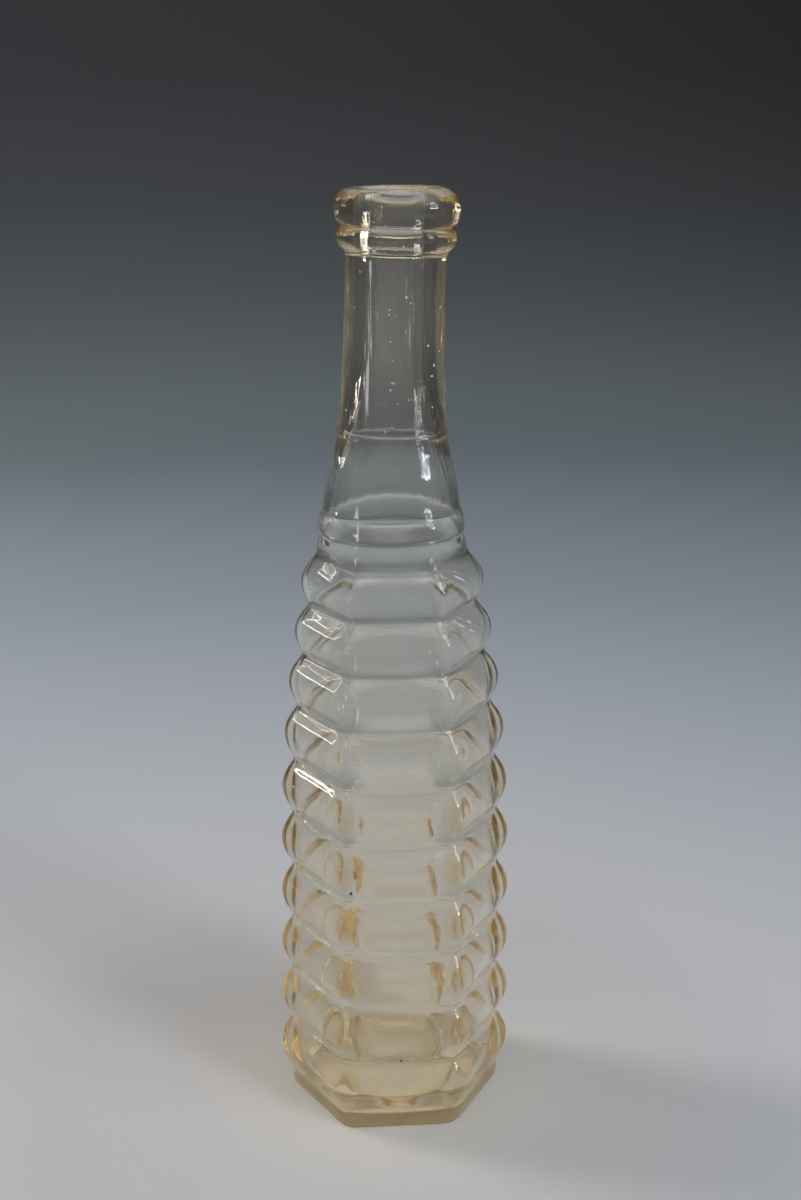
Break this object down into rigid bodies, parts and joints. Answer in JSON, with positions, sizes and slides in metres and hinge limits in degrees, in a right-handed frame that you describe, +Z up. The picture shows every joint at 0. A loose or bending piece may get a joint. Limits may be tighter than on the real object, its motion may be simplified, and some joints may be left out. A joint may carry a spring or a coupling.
{
  "type": "hot sauce bottle",
  "caption": "Empty tall hexagonal sauce bottle of clear straw-tinted glass, with pressed horizontal ribs, a beaded shoulder, a slim neck and a rounded lip over a ring.",
  "frame": {"origin": "centre of the foot, on the plane that the bottle stands on", "axes": "+Z up through the mouth; corners of the hexagon along +X and -X; flat sides face +Y and -Y"},
  "size_m": [0.0518, 0.0454, 0.2],
  "materials": {
    "glass": "clear, glossy, faintly straw-coloured, with fine ripples and a few seeds"
  },
  "bodies": {
    "root": {"bottle": "glass"}
  },
  "joints": []
}
